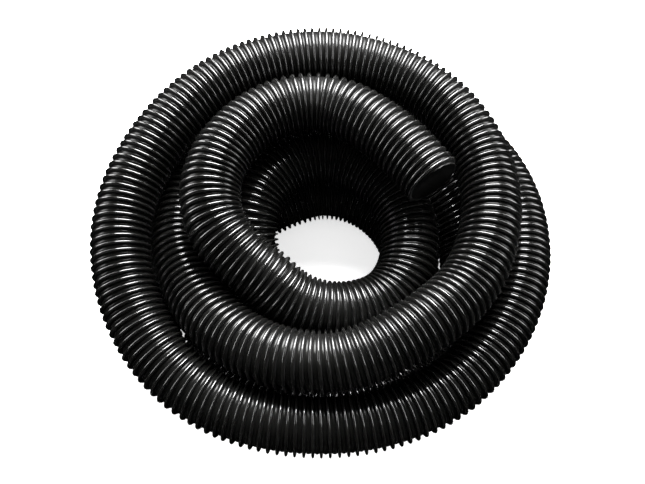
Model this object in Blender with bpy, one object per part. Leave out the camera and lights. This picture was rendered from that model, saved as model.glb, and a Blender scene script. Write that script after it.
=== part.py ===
"""Corrugated vacuum hose lying in a loose coil.  Metres, +Z up, front towards -Y.

The hose has two layers: a thin wall around the bore, and the spiral rib that
stiffens the wall.  Both follow one route, wound clockwise seen from above.
The rib is drawn as the sleeve that its windings fill.  The free upper end is
four short links that bend upwards, each hinged on the top of its joint.
"""

import bisect
import math

import bmesh
import bpy
from mathutils import Vector

MM = 0.001

# The hose's section
BORE_RADIUS = 19.0 * MM
WALL_THICKNESS = 0.9 * MM
CREST_RADIUS = 22.75 * MM
CLEARANCE = 0.3 * MM

# The route: sixteenths of a turn clockwise from the back, radius in mm, height in mm
ROUTE = (
    (10.4, 149.6, 22.8), (11, 143.8, 22.8), (12, 135.2, 22.8), (13, 136.9, 22.8),
    (14, 143, 22.8), (16, 153, 23), (17, 156.5, 30), (19, 157.8, 50.5), (20, 155.3, 57),
    (22, 148.2, 62.5), (24, 142, 66), (26, 148, 73.2), (28, 147, 88), (29.3, 142.7, 95),
    (31, 142.8, 99.5), (32, 143.2, 100), (34, 141, 93.5), (35, 134.5, 92), (36, 125.5, 94.5),
    (37, 116.5, 95), (38, 107, 98.5), (40, 105, 96), (42, 102.6, 82.3), (43, 102.8, 72.5),
    (44, 107, 65.5), (46, 113.5, 59.5), (48, 117, 60), (49, 114.5, 57), (50, 111.7, 45),
    (52, 119.1, 23.5), (54, 120.9, 22.8), (57, 116, 22.8), (59, 96.5, 22.8), (60, 86.8, 22.8),
    (61, 74.2, 22.8), (62, 64, 22.8), (63, 60.4, 22.8), (64, 61.8, 22.8), (67, 69.5, 22.8),
    (68, 73, 22.8), (70, 75, 23), (72, 74, 30), (74, 61, 41), (75, 55, 49), (77, 57.5, 66.8),
    (78, 62, 69.2), (80, 69.5, 69.5), (82, 68, 69.5), (84, 68.5, 69.5), (86, 69.5, 70.5),
    (87, 64.5, 73), (89, 57.2, 82.5), (90, 56.2, 91), (91, 64, 98), (92, 77, 105.5),
    (94, 90, 110.5), (96, 94, 110.5), (97.4, 82.7, 114), (98.6, 81.8, 114.5), (99, 84.2, 114.5),
    (99.25, 86.6, 114.5),
)
SIXTEENTHS = 16
COIL_CENTRE = Vector((-4.1 * MM, -5.5 * MM, -0.05 * MM))

# Where the hose is divided, in sixteenths of a turn along the route
TURN_CUTS = (11.2, 28, 44, 60, 76, 95.7)
FREE_END_CUTS = (95.7, 96.6, 97.5, 98.4, 99.25)
RING_STEP = 0.8
SIDES = 10
STEEPEST = 2.5

RIB_COLOUR = (0.018, 0.018, 0.020, 1.0)
WALL_COLOUR = (0.030, 0.030, 0.033, 1.0)
RIB_ROUGHNESS = 0.32
WALL_ROUGHNESS = 0.42


def clear_scene():
    for item in list(bpy.data.objects):
        bpy.data.objects.remove(item, do_unlink=True)


def slopes_and_rises(keys, values):
    """Slope of a smooth curve at each station, and the rise between stations."""
    steps = [b - a for a, b in zip(keys, keys[1:])]
    rises = [(b - a) / step for a, b, step in zip(values, values[1:], steps)]
    result = [rises[0]]
    for before, after, step_before, step_after in zip(rises, rises[1:], steps, steps[1:]):
        mean = (before * step_after + after * step_before) / (step_before + step_after)
        result.append(mean)
    result.append(rises[-1])
    return result, rises


def level_at_turning_points(slopes, rises):
    """Keep a height curve from dipping below its lowest stations."""
    limited = list(slopes)
    for index, (before, after) in enumerate(zip(rises, rises[1:]), start=1):
        if before * after <= 0.0:
            limited[index] = 0.0
        else:
            limit = STEEPEST * min(abs(before), abs(after))
            limited[index] = math.copysign(min(abs(slopes[index]), limit), after)
    return limited


KEYS = [station[0] for station in ROUTE]
RADII = [station[1] * MM for station in ROUTE]
HEIGHTS = [station[2] * MM for station in ROUTE]
RADIUS_SLOPES, _ = slopes_and_rises(KEYS, RADII)
HEIGHT_SLOPES = level_at_turning_points(*slopes_and_rises(KEYS, HEIGHTS))


def through_stations(key, values, slopes):
    """Cubic Hermite curve through the stations, read at a key."""
    index = min(max(bisect.bisect_right(KEYS, key) - 1, 0), len(KEYS) - 2)
    step = KEYS[index + 1] - KEYS[index]
    t = (key - KEYS[index]) / step
    start, end = values[index], values[index + 1]
    leave, arrive = slopes[index] * step, slopes[index + 1] * step
    return (
        (2 * t**3 - 3 * t**2 + 1) * start
        + (t**3 - 2 * t**2 + t) * leave
        + (3 * t**2 - 2 * t**3) * end
        + (t**3 - t**2) * arrive
    )


def route_point(key):
    angle = math.pi / 2 - 2 * math.pi * key / SIXTEENTHS
    radius = through_stations(key, RADII, RADIUS_SLOPES)
    height = through_stations(key, HEIGHTS, HEIGHT_SLOPES)
    return COIL_CENTRE + Vector((radius * math.cos(angle), radius * math.sin(angle), height))


def route_frame(key):
    """Point, direction, level side vector and upward vector of the section at a key."""
    reach = 0.02
    point = route_point(key)
    direction = (route_point(key + reach) - route_point(key - reach)).normalized()
    side = direction.cross(Vector((0, 0, 1))).normalized()
    up = side.cross(direction)
    return point, direction, side, up


def ring_keys(first, last):
    count = max(1, round((last - first) / RING_STEP))
    return [first + (last - first) * step / count for step in range(count + 1)]


def section_points(key, shift, radius):
    """A polygon across the hose, with a corner at its top, shifted along the hose."""
    point, direction, side, up = route_frame(key)
    centre = point + direction * shift
    corners = []
    for corner in range(SIDES):
        angle = 2 * math.pi * corner / SIDES
        corners.append(centre + radius * (math.sin(angle) * side + math.cos(angle) * up))
    return corners


def sleeve_mesh(name, keys, inner_radius, outer_radius, origin):
    """A tube with a wall, cut square at both ends, round a stretch of the route."""
    bm = bmesh.new()
    shifts = [0.0] * len(keys)
    shifts[0] = CLEARANCE / 2
    shifts[-1] = -CLEARANCE / 2
    layers = []
    for radius in (outer_radius, inner_radius):
        rings = []
        for key, shift in zip(keys, shifts):
            corners = section_points(key, shift, radius)
            rings.append([bm.verts.new(corner - origin) for corner in corners])
        layers.append(rings)
    for rings in layers:
        for ring, following in zip(rings, rings[1:]):
            for corner in range(SIDES):
                beside = (corner + 1) % SIDES
                face = bm.faces.new((ring[corner], ring[beside], following[beside], following[corner]))
                face.smooth = True
    for end in (0, -1):
        outer, inner = layers[0][end], layers[1][end]
        for corner in range(SIDES):
            beside = (corner + 1) % SIDES
            face = bm.faces.new((outer[corner], outer[beside], inner[beside], inner[corner]))
            for edge in face.edges:
                edge.smooth = False
    bmesh.ops.recalc_face_normals(bm, faces=bm.faces)
    mesh = bpy.data.meshes.new(name)
    bm.to_mesh(mesh)
    bm.free()
    return mesh


def make_material(name, colour, roughness):
    material = bpy.data.materials.new(name)
    material.use_nodes = True
    shader = material.node_tree.nodes["Principled BSDF"]
    shader.inputs["Base Color"].default_value = colour
    shader.inputs["Roughness"].default_value = roughness
    shader.inputs["Metallic"].default_value = 0.0
    return material


def add_layer(name, keys, layer, origin=Vector(), parent=None):
    """One stretch of the wall or of the rib's sleeve, drawn from its own origin."""
    inner_radius, outer_radius, colour, roughness = layer
    mesh = sleeve_mesh(name, keys, inner_radius, outer_radius, origin)
    mesh.materials.append(make_material(name, colour, roughness))
    item = bpy.data.objects.new(name, mesh)
    bpy.context.collection.objects.link(item)
    item.parent = parent


WALL_RADIUS = BORE_RADIUS + WALL_THICKNESS
WALL = (BORE_RADIUS, WALL_RADIUS, WALL_COLOUR, WALL_ROUGHNESS)
RIB = (WALL_RADIUS + CLEARANCE, CREST_RADIUS, RIB_COLOUR, RIB_ROUGHNESS)


def build_coil():
    """The lower cut end and the five turns that lie still."""
    end_keys = (KEYS[0], TURN_CUTS[0])
    add_layer("lower_end_wall", end_keys, WALL)
    add_layer("lower_end_rib", end_keys, RIB)
    for number, (first, last) in enumerate(zip(TURN_CUTS, TURN_CUTS[1:]), start=1):
        keys = ring_keys(first, last)
        add_layer(f"turn_{number}_wall", keys, WALL)
        add_layer(f"turn_{number}_rib", keys, RIB)


def hinge_place(key):
    """Where a hinge of the free end stands: on top of the joint."""
    point, _, _, up = route_frame(key)
    return point + up * CREST_RADIUS


def build_free_end():
    """The links of the free upper end, each on an empty that stands on its hinge."""
    parent = None
    parent_place = Vector()
    for number, (first, last) in enumerate(zip(FREE_END_CUTS, FREE_END_CUTS[1:]), start=1):
        place = hinge_place(first)
        hinge = bpy.data.objects.new(f"link_{number}_hinge", None)
        hinge.empty_display_size = CREST_RADIUS
        bpy.context.collection.objects.link(hinge)
        hinge.parent = parent
        hinge.location = place - parent_place
        add_layer(f"link_{number}_wall", (first, last), WALL, place, hinge)
        add_layer(f"link_{number}_rib", (first, last), RIB, place, hinge)
        parent, parent_place = hinge, place


def main():
    clear_scene()
    build_coil()
    build_free_end()


main()
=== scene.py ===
"""The looks of a corrugated vacuum hose that lies in a loose coil: its wound rib,
its wall, black plastic, a pale floor and soft studio light."""

import math
from collections import namedtuple

import bmesh
import bpy
import numpy as np
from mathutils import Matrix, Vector


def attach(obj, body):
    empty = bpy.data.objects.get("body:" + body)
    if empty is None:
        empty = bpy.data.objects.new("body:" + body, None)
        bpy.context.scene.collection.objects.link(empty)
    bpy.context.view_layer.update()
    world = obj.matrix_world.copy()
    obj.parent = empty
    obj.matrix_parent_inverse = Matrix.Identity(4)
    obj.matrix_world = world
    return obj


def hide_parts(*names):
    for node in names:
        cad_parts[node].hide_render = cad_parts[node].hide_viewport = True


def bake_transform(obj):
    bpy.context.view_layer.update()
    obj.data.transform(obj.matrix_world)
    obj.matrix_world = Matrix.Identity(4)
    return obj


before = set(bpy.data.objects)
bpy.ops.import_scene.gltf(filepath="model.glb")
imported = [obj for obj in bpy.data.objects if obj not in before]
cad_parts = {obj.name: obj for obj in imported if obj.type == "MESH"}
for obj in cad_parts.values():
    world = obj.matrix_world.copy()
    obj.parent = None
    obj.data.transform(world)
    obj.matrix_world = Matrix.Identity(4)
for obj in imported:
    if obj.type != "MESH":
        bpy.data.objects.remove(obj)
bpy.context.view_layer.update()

MM = 0.001

# The hose's section, as in the CAD
CREST_RADIUS = 22.75 * MM
VALLEY_RADIUS = 20.15 * MM
GROOVE_RADIUS = 19.4 * MM
BORE_RADIUS = 19.0 * MM

# The route, as in the CAD: sixteenths of a turn, radius in mm, height in mm
ROUTE = (
    (10.4, 149.6, 22.8), (11, 143.8, 22.8), (12, 135.2, 22.8), (13, 136.9, 22.8),
    (14, 143, 22.8), (16, 153, 23), (17, 156.5, 30), (19, 157.8, 50.5), (20, 155.3, 57),
    (22, 148.2, 62.5), (24, 142, 66), (26, 148, 73.2), (28, 147, 88), (29.3, 142.7, 95),
    (31, 142.8, 99.5), (32, 143.2, 100), (34, 141, 93.5), (35, 134.5, 92), (36, 125.5, 94.5),
    (37, 116.5, 95), (38, 107, 98.5), (40, 105, 96), (42, 102.6, 82.3), (43, 102.8, 72.5),
    (44, 107, 65.5), (46, 113.5, 59.5), (48, 117, 60), (49, 114.5, 57), (50, 111.7, 45),
    (52, 119.1, 23.5), (54, 120.9, 22.8), (57, 116, 22.8), (59, 96.5, 22.8), (60, 86.8, 22.8),
    (61, 74.2, 22.8), (62, 64, 22.8), (63, 60.4, 22.8), (64, 61.8, 22.8), (67, 69.5, 22.8),
    (68, 73, 22.8), (70, 75, 23), (72, 74, 30), (74, 61, 41), (75, 55, 49), (77, 57.5, 66.8),
    (78, 62, 69.2), (80, 69.5, 69.5), (82, 68, 69.5), (84, 68.5, 69.5), (86, 69.5, 70.5),
    (87, 64.5, 73), (89, 57.2, 82.5), (90, 56.2, 91), (91, 64, 98), (92, 77, 105.5),
    (94, 90, 110.5), (96, 94, 110.5), (97.4, 82.7, 114), (98.6, 81.8, 114.5), (99, 84.2, 114.5),
    (99.25, 86.6, 114.5),
)
SIXTEENTHS = 16
COIL_CENTRE = np.array((-4.1, -5.5, -0.05)) * MM
TURN_CUTS = (11.2, 28, 44, 60, 76, 95.7)
FREE_END_CUTS = (95.7, 96.6, 97.5, 98.4, 99.25)

# The steepest that the height may change at a station, over the gentler rise beside it
STEEPEST = 2.5

# The rib's pitch, which the lie of the hose stretches and presses: sixteenths of a turn, mm
PITCHES = (
    (10.4, 5.4), (20.5, 5.45), (22, 5.6), (24, 5.7), (26, 5.7), (27.5, 5.5), (29, 5.45),
    (30.5, 5.2), (31.7, 4.97), (33, 5.1), (34, 5.4), (35.3, 5.75), (37, 5.5), (39.7, 5.3),
    (41, 5.5), (42.7, 5.75), (44, 5.5), (50, 5.3), (76, 5.2), (84, 5.1), (86.4, 5.15),
    (89, 5.35), (91, 5.2), (92.7, 4.8), (94, 5.0), (95.4, 5.2), (99.25, 5.23),
)

# A used hose's small strays from that pitch: waves of radians a winding, phase and share
STRAY = 0.15 * MM
STRAY_WAVES = ((1.7, 0.0, 1.0), (0.61, 1.0, 0.8))

# The rib's half width at its foot, and how deep the foot is sunk into the wall
RIB_HALF_WIDTH = 1.05 * MM
RIB_SUNK = 0.05 * MM

# Windings numbered past each end, and drawn past it before the square cut
SPARE_WINDINGS = 10
PAST_THE_END = 2.0

# The lower end's length of wall, in windings
LOWER_END_WINDINGS = 4

# The free end's skin: how far before the first hinge it starts
LEAD_TO_FIRST_HINGE = 13 * MM

# Fineness: steps round the hose, points read along the route, and steps of the cord's path
RIB_STEPS = 32
WALL_STEPS = 24
SAMPLES = 9000
CORD_STEP = 8 * MM


# ---------------------------------------------------------------- the route

def station_slopes(keys, values):
    """Slopes of a smooth curve at its stations, and the rises between them."""
    steps = np.diff(keys)
    rises = np.diff(values) / steps
    inner = (rises[:-1] * steps[1:] + rises[1:] * steps[:-1]) / (steps[:-1] + steps[1:])
    return np.concatenate(([rises[0]], inner, [rises[-1]])), rises


def level_at_turning_points(slopes, rises):
    """Keep the heights from swinging past their lowest and highest stations."""
    before, after = rises[:-1], rises[1:]
    limit = STEEPEST * np.minimum(np.abs(before), np.abs(after))
    limited = np.sign(after) * np.minimum(np.abs(slopes[1:-1]), limit)
    result = slopes.copy()
    result[1:-1] = np.where(before * after <= 0.0, 0.0, limited)
    return result


def through_stations(keys, values, slopes, at):
    """The curve through the stations with those slopes."""
    index = np.clip(np.searchsorted(keys, at, side="right") - 1, 0, len(keys) - 2)
    step = keys[index + 1] - keys[index]
    t = (at - keys[index]) / step
    return (
        (2 * t**3 - 3 * t**2 + 1) * values[index]
        + (t**3 - 2 * t**2 + t) * slopes[index] * step
        + (3 * t**2 - 2 * t**3) * values[index + 1]
        + (t**3 - t**2) * slopes[index + 1] * step
    )


class Centreline:
    """The middle of the hose, read by the distance along it."""

    def __init__(self):
        keys, radii, heights = np.array(ROUTE, float).T
        radius_slopes, _ = station_slopes(keys, radii)
        height_slopes = level_at_turning_points(*station_slopes(keys, heights))
        at = np.linspace(keys[0], keys[-1], SAMPLES)
        radius = through_stations(keys, radii, radius_slopes, at) * MM
        height = through_stations(keys, heights, height_slopes, at) * MM
        angle = math.pi / 2 - 2 * math.pi * at / SIXTEENTHS
        about_the_centre = np.stack((radius * np.cos(angle), radius * np.sin(angle), height), 1)
        points = about_the_centre + COIL_CENTRE
        steps = np.linalg.norm(np.diff(points, axis=0), axis=1)
        distance = np.concatenate(([0.0], np.cumsum(steps)))
        self.keys, self.points, self.distance = at, points, distance
        self.length = distance[-1]
        direction = np.gradient(points, distance, axis=0)
        self.direction = direction / np.linalg.norm(direction, axis=1)[:, None]
        self.count_windings()

    def count_windings(self):
        """Number the rib's windings from the lower end, and on past both ends."""
        pitch = np.interp(self.keys, *np.array(PITCHES).T) * MM
        steps = np.diff(self.distance) / ((pitch[1:] + pitch[:-1]) / 2)
        count = np.cumsum(steps)
        self.windings = np.concatenate((
            [-SPARE_WINDINGS, 0.0], count, [count[-1] + SPARE_WINDINGS]))
        before, after = -SPARE_WINDINGS * pitch[0], self.length + SPARE_WINDINGS * pitch[-1]
        self.winding_distance = np.concatenate(([before], self.distance, [after]))

    def winding_at(self, distance):
        return float(np.interp(distance, self.winding_distance, self.windings))

    def distance_of(self, winding):
        """Where along the hose the rib's winding is, with its stray."""
        stray = sum(share * np.sin(rate * winding + phase) for rate, phase, share in STRAY_WAVES)
        return np.interp(winding, self.windings, self.winding_distance) + STRAY * stray

    def at_key(self, key):
        return float(np.interp(key, self.keys, self.distance))

    def read(self, values, distance):
        return np.stack([np.interp(distance, self.distance, values[:, k]) for k in range(3)], -1)

    def section(self, distance):
        """Middle, direction, level side and upward vectors, straight on past both ends."""
        inside = np.clip(distance, 0.0, self.length)
        direction = self.read(self.direction, inside)
        direction /= np.linalg.norm(direction, axis=-1)[..., None]
        middle = self.read(self.points, inside) + direction * (distance - inside)[..., None]
        side = np.cross(direction, (0.0, 0.0, 1.0))
        side /= np.linalg.norm(side, axis=-1)[..., None]
        up = np.cross(side, direction)
        return middle, direction, side, up


line = Centreline()


# ---------------------------------------------------------------- camera

def aim(item, target):
    item.rotation_euler = (Vector(target) - item.location).to_track_quat("-Z", "Y").to_euler()


def add_camera():
    elevation = math.radians(67)
    distance = 0.700
    target = Vector((-0.0021, -0.0055, 0.062))
    data = bpy.data.cameras.new("camera")
    data.lens = 50.8
    data.sensor_width = 36.0
    item = bpy.data.objects.new("camera", data)
    bpy.context.scene.collection.objects.link(item)
    item.location = target + distance * Vector((0.0, -math.cos(elevation), math.sin(elevation)))
    aim(item, target)
    bpy.context.scene.camera = item


add_camera()


# ---------------------------------------------------------------- the hose's meshes

def helix_grid(profile, around, first, last, closed):
    """Points, faces and heights of a profile wound round the hose, between two windings.

    profile is a list of (windings ahead of the rib, distance ahead of it, radius).  A
    closed profile is a bead; an open one is one pitch wide, and each winding joins
    the one before it.
    """
    first, last = round(first * around), round(last * around)
    steps = np.arange(first, last + (1 if closed else around + 1))
    winding = steps / around
    ahead, shifts, radii = np.array(profile).T
    columns = len(radii)
    distance = line.distance_of(winding[:, None] + ahead[None, :]) + shifts[None, :]
    middle, _, side, up = line.section(distance)
    angle = 2 * math.pi * winding
    outward = np.sin(angle)[:, None, None] * side + np.cos(angle)[:, None, None] * up
    points = (middle + radii[None, :, None] * outward).reshape(-1, 3)
    heights = (radii - GROOVE_RADIUS) / (CREST_RADIUS - GROOVE_RADIUS)
    heights = np.broadcast_to(heights, distance.shape)
    rows = np.arange(last - first)[:, None] * columns
    if closed:
        here = rows + np.arange(columns)[None, :]
        beside = rows + (np.arange(columns)[None, :] + 1) % columns
    else:
        here = rows + np.arange(columns - 1)[None, :]
        beside = here + 1
        beside[:, -1] = here[:, 0] + around * columns
    ahead_here, ahead_beside = here + columns, beside + columns
    faces = np.stack((here, beside, ahead_beside, ahead_here), -1).reshape(-1, 4)
    return points, faces, heights.reshape(-1)


def mesh_from(name, parts):
    """One mesh of several grids, without the points that no face uses."""
    points = np.concatenate([part[0] for part in parts])
    starts = np.cumsum([0] + [len(part[0]) for part in parts[:-1]])
    faces = np.concatenate([part[1] + start for part, start in zip(parts, starts)])
    heights = np.concatenate([part[2] for part in parts])
    used, renumbered = np.unique(faces, return_inverse=True)
    mesh = bpy.data.meshes.new(name)
    mesh.vertices.add(len(used))
    mesh.vertices.foreach_set("co", points[used].ravel())
    mesh.loops.add(faces.size)
    mesh.loops.foreach_set("vertex_index", renumbered.ravel())
    mesh.polygons.add(len(faces))
    mesh.polygons.foreach_set("loop_start", np.arange(0, faces.size, 4))
    mesh.update(calc_edges=True)
    mesh.shade_smooth()
    mesh.attributes.new("height", "FLOAT", "POINT").data.foreach_set("value", heights[used])
    return mesh


def cut_square(mesh, distance, outwards, bridged):
    """Cut a short mesh square across the hose, and close what the cut opens."""
    middle, direction, _, _ = line.section(np.array(distance))
    bm = bmesh.new()
    bm.from_mesh(mesh)
    cut = bmesh.ops.bisect_plane(
        bm, geom=bm.verts[:] + bm.edges[:] + bm.faces[:], dist=1e-8,
        plane_co=middle, plane_no=direction * outwards, clear_outer=True,
    )
    edges = [item for item in cut["geom_cut"] if isinstance(item, bmesh.types.BMEdge)]
    if bridged:
        made = bmesh.ops.bridge_loops(bm, edges=edges)["faces"]
    else:
        made = bmesh.ops.holes_fill(bm, edges=edges, sides=0)["faces"]
    for face in made:
        face.smooth = False
        for edge in face.edges:
            edge.smooth = False
    bm.to_mesh(mesh)
    bm.free()


def rib_profile():
    """The wound rib: a steep bead with a broad round top, its foot sunk into the wall."""
    foot = GROOVE_RADIUS - RIB_SUNK
    rise = CREST_RADIUS - foot
    shares_of_half_width_and_rise = (
        (-1.0, 0.0), (-0.9, 0.55), (-0.66, 0.88), (-0.25, 1.0),
        (0.25, 1.0), (0.66, 0.88), (0.9, 0.55), (1.0, 0.0),
    )
    return [(0.0, x * RIB_HALF_WIDTH, foot + y * rise) for x, y in shares_of_half_width_and_rise]


def wall_profile():
    """The wall's outside: a groove at each foot of the rib, and a low crown between windings."""
    shoulder_radius = VALLEY_RADIUS - 0.16 * MM
    half = ((0.5, VALLEY_RADIUS), (0.36, shoulder_radius), (0.21, GROOVE_RADIUS))
    before = [(-x, 0.0, radius) for x, radius in half]
    after = [(x, 0.0, radius) for x, radius in reversed(half)]
    return before + after


def bore_profile(rippled):
    """The bore: plain where it is out of sight, and hollowed under the rib at a cut end."""
    if not rippled:
        return [(0.5, 0.0, BORE_RADIUS), (-0.5, 0.0, BORE_RADIUS)]
    low_radius = BORE_RADIUS - 0.15 * MM
    hollow_radius = GROOVE_RADIUS - RIB_SUNK
    half = ((0.5, low_radius), (0.25, BORE_RADIUS), (0.12, hollow_radius))
    before = [(x, 0.0, radius) for x, radius in half]
    after = [(-x, 0.0, radius) for x, radius in reversed(half)]
    return before + after


def add_piece(name, mesh, material):
    mesh.materials.append(material)
    item = bpy.data.objects.new(name, mesh)
    bpy.context.scene.collection.objects.link(item)
    return item


# ---------------------------------------------------------------- materials

# The black's faint warmth, its blue over its red and green, and how deep its grain is
BLUE_SHARE = 0.92
GRAIN_DEPTH = 0.06 * MM


class Nodes:
    """A material's node tree, written one node at a time."""

    def __init__(self, name):
        self.material = bpy.data.materials.new(name)
        self.material.use_nodes = True
        self.tree = self.material.node_tree
        self.shader = self.tree.nodes["Principled BSDF"]

    def add(self, kind, **values):
        node = self.tree.nodes.new(kind)
        for key, value in values.items():
            if key in node.inputs:
                node.inputs[key].default_value = value
            else:
                setattr(node, key, value)
        return node

    def link(self, output, socket):
        self.tree.links.new(output, socket)

    def noise(self, scale, detail):
        where = self.add("ShaderNodeTexCoord")
        node = self.add("ShaderNodeTexNoise", Scale=scale, Detail=detail, Roughness=0.55)
        self.link(where.outputs["Object"], node.inputs["Vector"])
        return node.outputs["Fac"]

    def spread(self, value, low, high, to_low, to_high):
        node = self.add("ShaderNodeMapRange")
        node.inputs["From Min"].default_value = low
        node.inputs["From Max"].default_value = high
        node.inputs["To Min"].default_value = to_low
        node.inputs["To Max"].default_value = to_high
        self.link(value, node.inputs["Value"])
        return node.outputs["Result"]

    def math(self, operation, first, second):
        node = self.add("ShaderNodeMath", operation=operation)
        for socket, value in zip(node.inputs, (first, second)):
            if isinstance(value, float):
                socket.default_value = value
            else:
                self.link(value, socket)
        return node.outputs["Value"]


# How the plastic looks at one height, counted from 0 at the groove to 1 at the crest; the lower
# grey towards the wall's groove is painted shade
Level = namedtuple("Level", "height grey roughness")


def black_plastic(name, grain, specular, low, high):
    """Extruded black plastic: faint mottling, a fine grain, and looks that change with height,
    with painted shade darkening the wall's groove.
    """
    nodes = Nodes(name)
    height = nodes.add("ShaderNodeAttribute", attribute_name="height").outputs["Fac"]
    level = nodes.spread(height, low.height, high.height, to_low=0.0, to_high=1.0)
    coarse = nodes.noise(scale=60.0, detail=3.0)
    middling = nodes.noise(scale=420.0, detail=4.0)
    fine = nodes.noise(scale=2600.0, detail=2.0)
    mottle = nodes.spread(coarse, 0.35, 0.7, to_low=0.8, to_high=1.3)
    # The grey darkens towards the groove: on the wall this is painted shade in the groove and the
    # bore; the rib is darker on its lower flanks than at its crest.
    grey = nodes.spread(level, 0.0, 1.0, to_low=low.grey, to_high=high.grey)
    shade = nodes.math("MULTIPLY", grey, mottle)
    tint = nodes.add("ShaderNodeCombineColor")
    for channel in ("Red", "Green"):
        nodes.link(shade, tint.inputs[channel])
    nodes.link(nodes.math("MULTIPLY", shade, BLUE_SHARE), tint.inputs["Blue"])
    nodes.link(tint.outputs["Color"], nodes.shader.inputs["Base Color"])
    uneven = nodes.spread(middling, 0.3, 0.7, to_low=-0.03, to_high=0.04)
    gloss = nodes.spread(level, 0.0, 1.0, to_low=low.roughness, to_high=high.roughness)
    nodes.link(nodes.math("ADD", gloss, uneven), nodes.shader.inputs["Roughness"])
    nodes.shader.inputs["Specular IOR Level"].default_value = specular
    bump = nodes.add("ShaderNodeBump", Strength=grain, Distance=GRAIN_DEPTH)
    nodes.link(fine, bump.inputs["Height"])
    nodes.link(bump.outputs["Normal"], nodes.shader.inputs["Normal"])
    return nodes.material


rib_plastic = black_plastic(
    "rib_black", grain=0.06, specular=0.9,
    low=Level(height=0.55, grey=0.002, roughness=0.5),
    high=Level(height=0.9, grey=0.004, roughness=0.15),
)
# The wall's groove and bore get half the crown's grey: painted shade in the groove.
wall_plastic = black_plastic(
    "wall_black", grain=0.12, specular=0.16,
    low=Level(height=0.05, grey=0.0015, roughness=0.75),
    high=Level(height=0.2, grey=0.003, roughness=0.25),
)


# ---------------------------------------------------------------- the hose

FREE_JOINTS = [line.at_key(key) for key in FREE_END_CUTS[:-1]]
LINK_MIDDLES = [(a + b) / 2 for a, b in zip(FREE_JOINTS, FREE_JOINTS[1:])]
FREE_START = FREE_JOINTS[0] - LEAD_TO_FIRST_HINGE
WALL_START = float(line.distance_of(LOWER_END_WINDINGS))


def wall_mesh(name, first, last, rippled):
    """The wall between two windings, outside and bore."""
    outside = helix_grid(wall_profile(), WALL_STEPS, first, last, closed=False)
    inside = helix_grid(bore_profile(rippled), WALL_STEPS, first, last, closed=False)
    return mesh_from(name, (outside, inside))


def rib_mesh(name, first, last):
    return mesh_from(name, (helix_grid(rib_profile(), RIB_STEPS, first, last, closed=True),))


def build_still_hose():
    """The coil that lies still: one length of wall, and the rib turn by turn."""
    end = line.winding_at(FREE_START)
    wall_start = wall_mesh("wall_lower_end", -PAST_THE_END, LOWER_END_WINDINGS, rippled=True)
    cut_square(wall_start, 0.0, -1, bridged=True)
    wall_end = add_piece("wall_lower_end", wall_start, wall_plastic)
    wall_middle = wall_mesh("wall_coil", LOWER_END_WINDINGS, end, rippled=False)
    wall = add_piece("wall_coil", wall_middle, wall_plastic)
    ribs = []
    cuts = [line.at_key(key) for key in TURN_CUTS[:-1]]
    bounds = [-PAST_THE_END] + [line.winding_at(cut) for cut in cuts] + [end]
    names = ["rib_lower_end"] + [f"rib_turn_{number}" for number in range(1, 6)]
    for name, first, last in zip(names, bounds, bounds[1:]):
        mesh = rib_mesh(name, first, last)
        if first < 0:
            cut_square(mesh, 0.0, -1, bridged=False)
        ribs.append(add_piece(name, mesh, rib_plastic))
    return wall, wall_end, ribs


def build_free_end():
    """Short lengths from the middle of one link to the next, each over one hinge."""
    seams = [FREE_START] + LINK_MIDDLES + [line.length]
    made = []
    for number, joint in enumerate(FREE_JOINTS, start=1):
        first, last = line.winding_at(seams[number - 1]), line.winding_at(seams[number])
        at_the_end = number == len(FREE_JOINTS)
        if at_the_end:
            last += PAST_THE_END
        wall = wall_mesh(f"wall_bend_{number}", first, last, rippled=at_the_end)
        rib = rib_mesh(f"rib_bend_{number}", first, last)
        if at_the_end:
            cut_square(wall, line.length, 1, bridged=True)
            cut_square(rib, line.length, 1, bridged=False)
        middle, direction, _, _ = line.section(np.array(joint))
        for mesh, material in ((wall, wall_plastic), (rib, rib_plastic)):
            item = add_piece(mesh.name, mesh, material)
            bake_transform(item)
            made.append(item)
    return made


coil_wall, lower_end_wall, coil_ribs = build_still_hose()
free_pieces = build_free_end()

for piece in [coil_wall, lower_end_wall, *coil_ribs]:
    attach(piece, "coil")
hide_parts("lower_end_wall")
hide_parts(*(f"turn_{number}_wall" for number in range(1, 6)))
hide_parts("lower_end_rib")
for number in range(1, 6):
    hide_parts(f"turn_{number}_rib")
for piece in free_pieces:
    layer, _, number = piece.name.split("_")
    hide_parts(f"link_{number}_{layer}")

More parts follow.
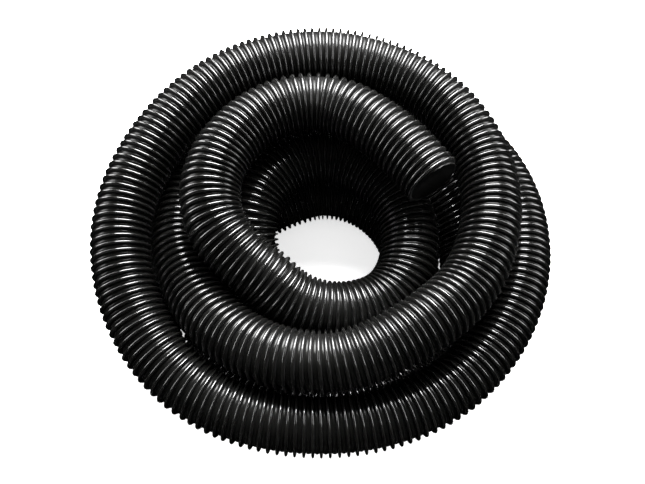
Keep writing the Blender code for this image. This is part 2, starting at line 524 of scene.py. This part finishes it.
line.section(np.array(0.0))[0]
line.section(np.arange(WALL_START, FREE_START, CORD_STEP))[0]


# ---------------------------------------------------------------- floor and light

def add_floor():
    mesh = bpy.data.meshes.new("floor")
    half = 4.0
    corners = [(-half, -half, 0), (half, -half, 0), (half, half, 0), (-half, half, 0)]
    mesh.from_pydata(corners, [], [(0, 1, 2, 3)])
    nodes = Nodes("pale_floor")
    nodes.shader.inputs["Base Color"].default_value = (0.93, 0.93, 0.93, 1)
    nodes.shader.inputs["Roughness"].default_value = 0.9
    nodes.shader.inputs["Specular IOR Level"].default_value = 0.0
    nodes.shader.inputs["Emission Color"].default_value = (1, 1, 1, 1)
    nodes.shader.inputs["Emission Strength"].default_value = 0.65
    mesh.materials.append(nodes.material)
    item = bpy.data.objects.new("floor", mesh)
    bpy.context.scene.collection.objects.link(item)
    item.visible_glossy = False


def add_softbox(name, place, size, power):
    """A rectangle of light that faces the back half of the coil."""
    data = bpy.data.lights.new(name, "AREA")
    data.shape = "RECTANGLE"
    data.size, data.size_y = size
    data.energy = power
    item = bpy.data.objects.new(name, data)
    bpy.context.scene.collection.objects.link(item)
    item.location = place
    aim(item, (0.0, 0.05, 0.05))


def add_pale_room():
    """Even pale air behind the hose; only the softboxes show in the plastic's gloss."""
    world = bpy.data.worlds.new("room")
    world.use_nodes = True
    world.node_tree.nodes["Background"].inputs["Color"].default_value = (1, 1, 1, 1)
    world.node_tree.nodes["Background"].inputs["Strength"].default_value = 1.0
    world.cycles_visibility.glossy = False
    bpy.context.scene.world = world


def light_the_studio():
    add_softbox("back_high", place=(0.1, 0.95, 1.05), size=(1.1, 0.8), power=150)
    add_softbox("back", place=(0.05, 1.15, 0.5), size=(1.2, 0.4), power=18)
    add_softbox("left_strip", place=(-1.1, 0.5, 0.35), size=(1.4, 0.5), power=24)
    add_softbox("right_strip", place=(1.1, 0.5, 0.35), size=(1.4, 0.5), power=24)
    add_pale_room()
    bpy.context.scene.view_settings.view_transform = "Standard"


add_floor()
light_the_studio()
